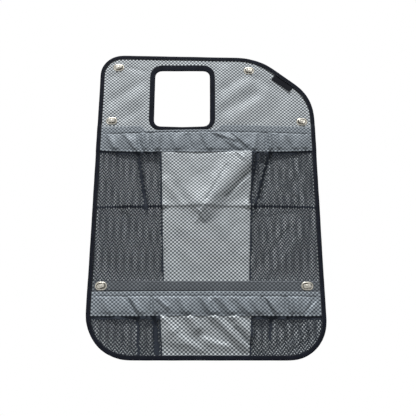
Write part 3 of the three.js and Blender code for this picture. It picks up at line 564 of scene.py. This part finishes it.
# Pocket fronts: each pocket has a silver panel in the middle and a net on either side, sewn into the
# binding and, the upper one, under the seam strip. They hang out from the panel towards the mouth.
# A fold's second half width lies below it when it runs down to the right.
pockets = {
    "upper": {
        "mouth": 169.5, "gather": 151.5, "band": 38, "sag": 12, "flat_to": -193.5, "bottom": -200.5,
        "stand": 14, "panel_top": 213, "panel_bottom": 187, "panel_shift": 1.2,
        "folds": [
            # the crease where it was folded flat, across the nets, and less of it across the middle
            (-247, -27, -100, -27, 4.5, 14, 2.5), (98, -27, 247, -27, 4.5, 14, 2.5),
            (-100, -27, 98, -27, 1.6, 10, 2),
            # big facet in the middle panel: a sharp ridge, with the cloth falling away to its lower right
            (99, 84, -2, -26, 12.5, 24, 40), (98, 49, 50, -4, -2.4, 4, 5), (46, 66, 2, -12, -1.6, 4, 3),
            (62, 110, 84, 84, 2.6, 6, 3), (90, 106, 100, 70, 2.6, 6, 4), (-16, -40, -4, -58, 2.4, 4, 3),
            (-4, -30, -22, -62, 1.8, 4, 4), (-90, 96, -30, -18, 2.6, 20, 12),
            (-96, 30, -52, -26, 2.2, 10, 8), (-80, -50, 20, -150, 2.2, 26, 18),
            (10, -50, 86, -140, 2.4, 20, 14), (-60, -120, 10, -190, 2, 16, 14),
            # left net
            (-160, 108, -137, -22, -7, 3, 2.5), (-150, 108, -126, -22, 3.5, 6, 3),
            (-238, 70, -180, -20, 3.4, 14, 8), (-214, 90, -196, 20, -2.4, 12, 8),
            (-236, 20, -215, -18, -2.8, 8, 8), (-112, 100, -106, -10, 3, 7, 3),
            (-135, -52, -96, -172, 3.4, 14, 6), (-226, -40, -150, -160, 3.2, 16, 9),
            (-186, -40, -118, -176, -3, 10, 8), (-120, -44, -96, -120, 2.4, 9, 5),
            (-240, -90, -180, -190, 2.6, 12, 8),
            # right net
            (122, 106, 101, -20, -6.5, 3, 3), (142, 108, 110, -24, 5, 4, 3), (154, 108, 119, -24, -6, 3, 3),
            (138, -14, 164, 16, 3.4, 5, 9), (164, 16, 202, 2, 3.6, 9, 5), (202, 2, 243, -14, 3.2, 8, 5),
            (178, 70, 236, 36, 3, 16, 8), (160, 96, 176, 44, 2.4, 9, 5), (196, -80, 113, -187, -6.5, 4, 12),
            (204, -92, 128, -190, 5, 9, 4), (150, -40, 120, -130, 3, 8, 6), (206, -60, 240, -160, 3, 14, 7),
        ],
        "pleats": [
            (-160, 108, -137, -26, 1, 3.4, 3.4), (-247, -29, -94, -29, 1, 3.6, 3.6),
            (97, -29, 247, -29, 1, 3.6, 3.6), (150, 108, 112, -26, 1, 3, 3), (122, 106, 104, 20, 1, 3, 3),
        ],
    },
    "lower": {
        "mouth": -219.5, "gather": -229.5, "band": 42, "sag": 0, "flat_to": -350.5, "bottom": -362,
        "stand": 12, "panel_top": 199, "panel_bottom": 183, "panel_shift": 0,
        "folds": [
            # folds that run down from the gathers, from left to right: steep above, long below
            (-222, -230, -206, -270, 4.5, 6, 10), (-177, -226, -150, -272, -6, 4, 3),
            (-166, -226, -136, -272, 5, 6, 6), (-118, -228, -116, -276, -6.5, 2, 2),
            (-111, -228, -108, -276, 4, 6, 3), (-104, -234, -84, -252, 4, 5, 5),
            (-56, -232, -41, -262, 6.5, 7, 10), (-10, -228, 13, -266, 7, 6, 8),
            (10, -241, 30, -271, 2.6, 3, 2.5), (25, -228, 57, -266, 6.5, 6, 10),
            (68, -234, 94, -266, 5, 5, 9), (100, -234, 118, -266, 4.5, 5, 8),
            (122, -232, 148, -274, -5, 5, 4), (130, -232, 158, -274, 4, 9, 4),
            (172, -226, 175, -276, -6.5, 3, 2.5), (181, -226, 185, -276, 4.5, 6, 3),
            (196, -230, 200, -268, 3, 8, 4), (240, -230, 212, -271, -3.4, 4, 4),
            # the same folds below the casing, over the middle panel
            (-41, -262, -18, -294, 7, 7, 13), (13, -266, 87, -339, 8.5, 6, 10),
            (57, -266, 98, -312, 7, 6, 12), (-97, -270, -65, -299, 6.5, 7, 10),
            (-81, -274, -56, -299, -2.4, 2, 2), (-78, -303, -10, -346, 6, 8, 24),
            (2, -322, 44, -336, 4, 6, 14), (66, -300, 96, -336, -2.6, 5, 5),
            # nets
            (-150, -272, -145, -350, -6.5, 4, 4), (-138, -272, -133, -346, 4, 6, 3),
            (-110, -272, -105, -350, -7, 4.5, 4.5), (-120, -272, -117, -350, 3.6, 4, 4),
            (-190, -278, -150, -350, 3.4, 10, 6), (-232, -276, -196, -338, 3, 12, 7),
            (142, -272, 136, -316, -5, 4, 5), (221, -284, 144, -351, -6, 3, 7),
            (228, -294, 158, -352, 4.5, 6, 3), (112, -276, 118, -340, 3, 8, 5),
            (168, -276, 176, -330, 3, 8, 5),
        ],
        "pleats": [
            (-148, -272, -143, -350, 1, 3.2, 3.2), (-111, -272, -104, -350, 1, 5.5, 5.5),
            (142, -272, 137, -316, 1, 3, 3),
        ],
    },
}
outer_edge = 247             # the sheets lie flat under the tape beyond this
first_layer = 0.6            # middle of a sheet that lies on the panel
panel_cloth = 0.6


def band_low(pocket, x):
    return pocket["gather"] - pocket["band"] - pocket["sag"] * max(0.0, math.cos(math.pi * x / 520)) ** 0.45


def side_reach(x_side, z):
    """Half width of the flat part at a height: the lower corners are round."""
    radius = 98 if x_side < 0 else 82
    below = -364 + radius - max(z, -351)
    reach = radius - 13
    if below <= 0:
        return outer_edge
    return 260 - radius + math.sqrt(max(0.0, reach * reach - below * below))


def hang(pocket, x, z):
    """How far a pocket's front hangs out, from 0 at its seams to 1 in the middle of its mouth."""
    left = -side_reach(-1, z)
    right = side_reach(1, z)
    share = min(1.0, max(0.0, (x - left) / (right - left)))
    rise = min(1.0, max(0.0, (z - pocket["flat_to"]) / (pocket["gather"] - pocket["flat_to"])))
    return math.sin(math.pi * share) * math.sin(math.pi / 2 * rise)


def sheet_out(pocket, x, z):
    """Middle of the pocket's cloth in front of the panel, with its folds."""
    full = hang(pocket, x, z)
    folds = fold_height(pocket["folds"], x, z)
    folds += (1.8 * noise.noise(Vector((x / 42, z / 55, 2.2)))
              + 0.6 * noise.noise(Vector((x / 15, z / 18, 4.6))))
    under = 1 - 0.85 * smoothstep(-5, 4, z - band_low(pocket, x))
    return max(first_layer + 0.2, first_layer + pocket["stand"] * full + folds * min(1.0, full * 4) * under)


def seam_x(pocket, side, z):
    share = (z - pocket["bottom"]) / (pocket["gather"] - pocket["bottom"])
    width = pocket["panel_bottom"] + (pocket["panel_top"] - pocket["panel_bottom"]) * share
    return pocket["panel_shift"] + side * width / 2


grey_seams = bmesh.new()
for name, pocket in pockets.items():
    top = band_low(pocket, 0) + 4
    columns = 150
    rows = 250 if name == "upper" else 90
    bm = bmesh.new()
    bmesh.ops.create_grid(bm, x_segments=columns, y_segments=rows, size=0.5)
    for v in bm.verts:
        z = pocket["bottom"] + (v.co.y + 0.5) * (top - pocket["bottom"])
        left = seam_x(pocket, -1, z)
        right = seam_x(pocket, 1, z)
        x = left + (v.co.x + 0.5) * (right - left)
        v.co = place(x, z, sheet_out(pocket, x, z) + 0.5)
    sheet_tree = BVHTree.FromBMesh(bm)
    for side in (-1, 1):
        sew(grey_seams, sheet_tree, [(seam_x(pocket, side, z) - side * 2.2, z)
                                     for z in (pocket["flat_to"], top - 2)], lift=0.35)
    middle = finish_piece(f"{name}_middle_cloth", bm, silver_cloth)
    wall = middle.modifiers.new("cloth", "SOLIDIFY")
    wall.thickness = panel_cloth * mm
    wall.offset = 0
    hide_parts(f"{name}_centre_panel")


# Nets: black warp-knitted polyester with small staggered holes, through which the silver panel shows. Its
# meshes are 4.6 mm wide and 7.2 mm high, drawn about a fifth larger so that they can be seen, as diamonds.
# Where it is hemmed and where it lies in pleats the layers cover each other's holes, so it is drawn closed.
# The closed strips under the casing's lower edge and along the middle panel's seams are partly real hems and
# partly painted shade: dark lines that stand for the shadow there.
hole_width = 5.8
hole_height = 8.4
strand_half = 0.48
hole_half = 3.1              # the knots above and below a hole leave this much of it on each side
whole_share = 0.7            # a mesh cut by the net's edge to less than this stays closed
net_cloth = 0.5
net_inset = 2.5              # the net ends this far inside the panel's edge, under the tape
# the closed strips under the casing and along the seams are real hems and also painted shade for the shadow
# there
hem_height = 5
seam_hem_and_shade_width = 3.5


def knitted_net():
    """Knitted polyester: dull dark strands."""
    material = bpy.data.materials.new("black_knitted_polyester")
    material.use_nodes = True
    tree = material.node_tree
    tree.nodes.clear()
    spot = add_node(tree, "ShaderNodeTexCoord")
    loops = add_node(tree, "ShaderNodeTexVoronoi", {"Scale": 1400.0}, {"Vector": spot.outputs["Object"]})
    ramp = add_node(tree, "ShaderNodeValToRGB", {}, {0: loops.outputs["Distance"]})
    ramp.color_ramp.elements[0].color = linear("353b44")
    ramp.color_ramp.elements[1].color = linear("21252c")
    bump = add_node(tree, "ShaderNodeBump", {"Strength": 0.5, "Distance": 0.2 * mm},
                    {"Height": loops.outputs["Distance"]})
    cloth = add_node(tree, "ShaderNodeBsdfPrincipled", {
        "Roughness": 0.65, "Specular IOR Level": 0.1,
    }, {"Base Color": ramp.outputs["Color"], "Normal": bump.outputs[0]})
    add_node(tree, "ShaderNodeOutputMaterial", {}, {"Surface": cloth.outputs[0]})
    return material


net_black = knitted_net()
for name, pocket in pockets.items():
    top = band_low(pocket, 260) + hem_height
    for side, hand in ((-1, "left"), (1, "right")):
        inner = [seam_x(pocket, side, z) for z in (pocket["bottom"], top)]
        outer = side * (260 - net_inset)
        width = max(abs(outer - x) for x in inner)
        height = top - pocket["bottom"]
        centre = Vector(((outer + sum(inner) / 2) / 2, (top + pocket["bottom"]) / 2, 0))
        cells = int(width / hole_width + height / hole_height) + 4
        bm = bmesh.new()
        bmesh.ops.create_grid(bm, x_segments=cells, y_segments=cells, size=cells / 2)
        spread = Matrix.Diagonal((hole_width / math.sqrt(2), hole_height / math.sqrt(2), 1, 1))
        bmesh.ops.transform(bm, verts=bm.verts,
                            matrix=Matrix.Translation(centre) @ spread @ Matrix.Rotation(math.pi / 4, 4, "Z"))
        seam_run = Vector((inner[1] - inner[0], height, 0))
        cuts = [
            (Vector((0, top, 0)), Vector((0, 1, 0))),
            (Vector((0, pocket["bottom"], 0)), Vector((0, -1, 0))),
            (Vector((outer, 0, 0)), Vector((side, 0, 0))),
            (Vector((inner[0], pocket["bottom"], 0)), Vector((-side * seam_run.y, side * seam_run.x, 0))),
        ]
        if name == "lower":
            for x, z, nx, nz in rounded_path(outline_corners, inset=net_inset, step=400)[:18]:
                if nx * side > 0.05 and nz < -0.05:
                    cuts.append((Vector((x, z, 0)), Vector((nx, nz, 0))))
        for spot, normal in cuts:
            bmesh.ops.bisect_plane(bm, geom=bm.verts[:] + bm.edges[:] + bm.faces[:], dist=1e-4,
                                   plane_co=spot, plane_no=normal, clear_outer=True)
        whole = whole_share * hole_width * hole_height / 2
        open_meshes = []
        for f in bm.faces:
            x, z, _ = f.calc_center_median()
            # closed strips: real hems, and also painted shade for the shadow under the casing and along the
            # middle seams
            hem = z > band_low(pocket, x) - hem_height or abs(x - seam_x(pocket, side, z)) < seam_hem_and_shade_width
            if f.calc_area() > whole and not hem and fold_height(pocket["pleats"], x, z) < 0.4:
                open_meshes.append(f)
        bmesh.ops.inset_individual(bm, faces=open_meshes, thickness=strand_half, use_even_offset=True)
        for f in open_meshes:
            middle = f.calc_center_median()
            for v in f.verts:
                v.co.y = middle.y + max(-hole_half, min(hole_half, v.co.y - middle.y))
        bmesh.ops.delete(bm, geom=open_meshes, context="FACES")
        for v in bm.verts:
            x, z = v.co.x, v.co.y
            v.co = place(x, z, sheet_out(pocket, x, z))
        net = finish_piece(f"{name}_net_{hand}", bm, net_black)
        wall = net.modifiers.new("strands", "SOLIDIFY")
        wall.thickness = net_cloth * mm
        wall.offset = 0
        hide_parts(f"{name}_mesh_{hand}")


# Casings: a band of the same cloth, darker, folded over each pocket's mouth, gathered on the elastic in
# its channel and sewn down above its lower edge. The gathers pinch at the seam and open out below it.
band_cloth = woven_cloth("bluish_woven_polyester", "9ca4aa", "697077", "40464d", 0.55, 0.15)
band_gap = 2.2               # the front layer in front of the back one
band_bulge = 1.5               # and how much farther it stands out halfway down
pinches = {                  # where the gathers bunch up: centre, half width
    "upper": [(-222, 12), (-172, 14), (-122, 20), (-32, 14), (68, 16), (132, 14), (171, 16)],
    "lower": [
        (-200, 14), (-160, 12), (-100, 12), (-50, 14), (12, 24), (66, 14), (116, 14), (172, 16), (220, 14),
    ],
}
band_folds = {
    "upper": [
        (-232, 146, -214, 112, 3, 9, 5), (-190, 144, -164, 108, 3.4, 8, 4),
        (-163, 154, -152, 104, -6, 3, 3), (-150, 152, -143, 104, 4.4, 6, 3),
        (-131, 150, -128, 104, -4, 3, 3), (-110, 148, -116, 106, 3.4, 8, 5), (-80, 146, -70, 110, 3, 10, 6),
        (-44, 140, -34, 108, -3.4, 6, 5), (-10, 146, 6, 110, 3.4, 9, 5), (16, 150, 64, 131, 3.6, 8, 4),
        (62, 148, 92, 120, 4, 7, 4), (50, 128, 80, 108, 3, 8, 5), (118, 150, 112, 112, 3.2, 7, 5),
        (141, 156, 141, 102, -7, 2.5, 2.5), (149, 155, 150, 102, 5, 6, 3), (161, 150, 169, 116, 3.6, 6, 4),
        (190, 148, 208, 112, 3.2, 9, 5), (222, 148, 232, 118, 2.6, 8, 5),
    ],
    "lower": [fold for fold in pockets["lower"]["folds"] if fold[1] > -250],
}
window_middle = -58
dip_reach = (82, 96)         # the upper mouth dips under the window's tape
dip_depth = 12.5
front_share = 0.62           # of a casing's grid rows, those in its front layer
crest_share = 0.70           # and those up to the far side of its crest
crest_radius = 1.6


def mouth_level(name, x):
    pocket = pockets[name]
    if name == "lower":
        return pocket["mouth"]
    dip = 1 - smoothstep(*dip_reach, abs(x - window_middle))
    return pocket["mouth"] - dip_depth * dip


def gathers(name, x):
    """Pinched cloth along the gathering seam: rounded puffs with sharp little valleys between."""
    strength = 0.25 + sum(0.9 * math.exp(-((x - at) / half) ** 2) for at, half in pinches[name])
    puff = abs(noise.noise(Vector((x / 8.5, 0.3, 1.7 if name == "upper" else 5.9))))
    puff += 0.5 * abs(noise.noise(Vector((x / 4.2, 2.3, 1.1))))
    return min(strength, 1.2) * (3.4 * puff - 0.9)


for name, pocket in pockets.items():
    gather = pocket["gather"]
    columns = 420
    rows = 96
    half_width = 258.5
    bm = bmesh.new()
    bmesh.ops.create_grid(bm, x_segments=columns, y_segments=rows, size=0.5)
    for v in bm.verts:
        x = v.co.x * 2 * half_width
        share = v.co.y + 0.5
        crest = mouth_level(name, x)
        low = band_low(pocket, x)
        edge_fade = smoothstep(0, 14, outer_edge - abs(x))
        puff = gathers(name, x) * edge_fade
        rim_wave = (0.7 * noise.noise(Vector((x / 14, 8.8, 0.4))) - 0.25 * puff) * edge_fade
        if share < front_share:
            # front layer, from its lower edge up to just under the crest
            z = low + rim_wave + (crest - crest_radius - low - rim_wave) * share / front_share
            out = first_layer + pocket["stand"] * hang(pocket, x, z) + band_gap
            below = gather - z
            if below > 0:
                hem = smoothstep(2, 9, z - low)
                out += band_bulge * math.sin(math.pi * below / (gather - low)) * edge_fade
                out += 0.7 * puff * math.exp(-below / 13)
                free = smoothstep(-2, 5, below)
                out += fold_height(band_folds[name], x, z) * edge_fade * (0.4 + 0.6 * hem) * free
                out += 1.6 * noise.noise(Vector((x / 16, z / 24, 6.1))) * edge_fade * hem
                out -= 0.5 * math.exp(-((z - low - 5) / 2.4) ** 2) * edge_fade
                out = max(out, first_layer + pocket["stand"] * hang(pocket, x, z) + 1.1)
            else:
                near_crest = smoothstep(-14, 0, z - crest)
                out += puff * (0.55 + 0.45 * math.exp(below / 4)) * (1 - 0.35 * near_crest)
            out -= 1.2 * math.exp(-(below / 1.8) ** 2) * edge_fade
        elif share < crest_share:
            # over the crest
            turn = math.pi * (share - front_share) / 0.08
            z = crest - crest_radius + crest_radius * math.sin(turn) + 0.25 * puff * math.sin(turn)
            out = first_layer + pocket["stand"] * hang(pocket, x, crest) + band_gap / 2 * (1 + math.cos(turn))
            out += 0.5 * puff * (1 + math.cos(turn)) / 2
        else:
            # back layer, down behind the pocket's front
            z = crest - crest_radius - (crest - crest_radius - low - 1) * (share - crest_share) / 0.30
            out = first_layer + pocket["stand"] * hang(pocket, x, z) - 0.2
        v.co = place(x, z, max(out, first_layer - 0.2))
    band_tree = BVHTree.FromBMesh(bm)
    steps = [-244 + 4 * i for i in range(123)]
    sew(grey_seams, band_tree, [(x, band_low(pocket, x) + 5) for x in steps], lift=0.3)
    sew(grey_seams, band_tree, [(x, gather) for x in steps], lift=0.3)
    band = finish_piece(f"{name}_casing", bm, band_cloth)
    wall = band.modifiers.new("cloth", "SOLIDIFY")
    wall.thickness = 0.5 * mm
    wall.offset = 0
    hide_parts(f"{name}_band")


# Seam strip: the same silver cloth, coloured darker as painted shade for the strip's tilt, with both edges
# turned under, sewn flat over the upper pocket's lower edge.
# painted shade: these three colours are the silver cloth's own, darkened to stand for the shade on the tilted
# strip
shaded_strip_cloth = woven_cloth("silver_woven_polyester_painted_shade", "6d7277", "4a4f54", "33373c", 0.55, 0.1)
bm = merged_copy("seam_strip")
slice_up(bm, 0, 7 * mm)
slice_up(bm, 2, 3 * mm)
strip_low, strip_high = (corner.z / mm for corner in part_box("seam_strip"))
for v in bm.verts:
    x, z = v.co.x / mm, v.co.z / mm
    flat_here = smoothstep(0, 14, outer_edge - abs(x))
    for spot in button_places.values():
        flat_here *= smoothstep(10, 20, math.hypot(x - spot.x, z - spot.z))
    wave = 0.5 * noise.noise(Vector((x / 22, z / 30, 3.9)))
    v.co.y -= max(-0.15, wave) * flat_here * mm
    if abs(z - strip_low) < 0.5 or abs(z - strip_high) < 0.5:
        v.co.z += 0.4 * mm * noise.noise(Vector((x / 30, z, 2.5))) * flat_here
strip_tree = BVHTree.FromBMesh(bm)
for z in (strip_low + 2.5, strip_high - 2.5):
    sew(grey_seams, strip_tree, [(-246, z), (246, z)], lift=0.1)
strip = finish_piece("seam_strip_cloth", bm, shaded_strip_cloth)
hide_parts("seam_strip")
finish_piece("cloth_seams", grey_seams, grey_thread)


# Elastic: 5 mm braided elastic in each casing's channel, which the cloth covers. It lies against the back
# layer, clear of the gathering seam, and is squeezed narrow where the casing dips under the window.
braid = bpy.data.materials.new("braided_elastic")
braid.use_nodes = True
tree = braid.node_tree
tree.nodes.clear()
spot = add_node(tree, "ShaderNodeTexCoord")
ribs = add_node(tree, "ShaderNodeTexWave", {"Scale": 320.0, "bands_direction": "Z"},
                {"Vector": spot.outputs["Object"]})
ramp = add_node(tree, "ShaderNodeValToRGB", {}, {0: ribs.outputs["Fac"]})
ramp.color_ramp.elements[0].color = linear("a9a79f")
ramp.color_ramp.elements[1].color = linear("dcdad2")
rubbery = add_node(tree, "ShaderNodeBsdfPrincipled", {"Roughness": 0.8},
                   {"Base Color": ramp.outputs["Color"]})
add_node(tree, "ShaderNodeOutputMaterial", {}, {"Surface": rubbery.outputs[0]})
for name in pockets:
    bm = merged_copy(f"{name}_elastic")
    slice_up(bm, 0, 4 * mm)
    lowest = min(v.co.z for v in bm.verts)
    highest = max(v.co.z for v in bm.verts)
    for v in bm.verts:
        room = (mouth_level(name, v.co.x / mm) - 3.4) * mm - lowest
        v.co.y += 0.55 * mm
        v.co.z = lowest + (v.co.z - lowest) * min(1.0, max(0.8 * mm, room) / (highest - lowest)) + 0.8 * mm
    elastic = finish_piece(f"{name}_braid", bm, braid)
    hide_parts(f"{name}_elastic")


# Turn-button fasteners: pressed brass with a nickel plate, a little warm and unevenly polished. Each has an
# oval eyelet, its clinch ring behind, a base and the wing that turns on it.
nickel = bpy.data.materials.new("nickel_plated_brass")
nickel.use_nodes = True
tree = nickel.node_tree
tree.nodes.clear()
spot = add_node(tree, "ShaderNodeTexCoord")
worn = add_node(tree, "ShaderNodeTexNoise", {"Scale": 260.0, "Detail": 4.0},
                {"Vector": spot.outputs["Object"]})
rough = add_node(tree, "ShaderNodeMapRange",
                 {"From Min": 0.3, "From Max": 0.7, "To Min": 0.28, "To Max": 0.45},
                 {0: worn.outputs["Fac"]})
tone = add_node(tree, "ShaderNodeValToRGB", {}, {0: worn.outputs["Fac"]})
tone.color_ramp.elements[0].color = linear("8d8a82")
tone.color_ramp.elements[1].color = linear("bfbcb3")
bump = add_node(tree, "ShaderNodeBump", {"Strength": 0.1, "Distance": 0.1 * mm},
                {"Height": worn.outputs["Fac"]})
plate = add_node(tree, "ShaderNodeBsdfPrincipled", {"Metallic": 1.0}, {
    "Base Color": tone.outputs["Color"], "Roughness": rough.outputs[0], "Normal": bump.outputs[0],
})
add_node(tree, "ShaderNodeOutputMaterial", {}, {"Surface": plate.outputs[0]})
oval_core = 4.05             # half the distance between the two end centres of every oval
ring_turn = math.radians(30)  # the CAD rings' corners are this far apart round their ends


def round_ring(node, spot):
    """A CAD ring's copy, cut finer all the way round, with the new corners moved out to the true oval."""
    bm = merged_copy(node)
    bmesh.ops.join_triangles(bm, faces=bm.faces[:], angle_face_threshold=0.3, angle_shape_threshold=1.5)
    around = [
        e for e in bm.edges
        if abs(e.verts[0].co.y - e.verts[1].co.y) < 1e-6 and e.calc_length() > 2.2 * mm
    ]
    bmesh.ops.subdivide_edges(bm, edges=around, cuts=3, use_grid_fill=True)
    for v in bm.verts:
        x = v.co.x / mm - spot.x
        z = v.co.z / mm - spot.z
        reach = abs(x) - oval_core
        if reach > 1e-3:
            bearing = math.atan2(z, reach)
            off_middle = (bearing + math.pi / 2) % ring_turn - ring_turn / 2
            grow = math.cos(off_middle) / math.cos(ring_turn / 2)
            v.co.x = (spot.x + math.copysign(oval_core + reach * grow, x)) * mm
            v.co.z = (spot.z + z * grow) * mm
    return bm


for place_name, spot in button_places.items():
    for part in ("eyelet", "clinch_ring"):
        node = f"{part}_{place_name}"
        ring = finish_piece(f"{node}_plated", round_ring(node, spot), nickel)
        pressed = ring.modifiers.new("pressed", "SUBSURF")
        pressed.levels = pressed.render_levels = 1
        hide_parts(node)
    for part, body in (("button_base", "pouch"), ("button_wing", f"wing_{place_name}")):
        node = f"{part}_{place_name}"
        casting = finish_piece(f"{node}_plated", merged_copy(node), nickel, body)
        casting.data.set_sharp_from_angle(angle=math.radians(40))
        tumbled = casting.modifiers.new("tumbled", "BEVEL")
        tumbled.width = 0.3 * mm
        tumbled.segments = 3
        tumbled.angle_limit = math.radians(25)
        tumbled.harden_normals = True
        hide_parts(node)
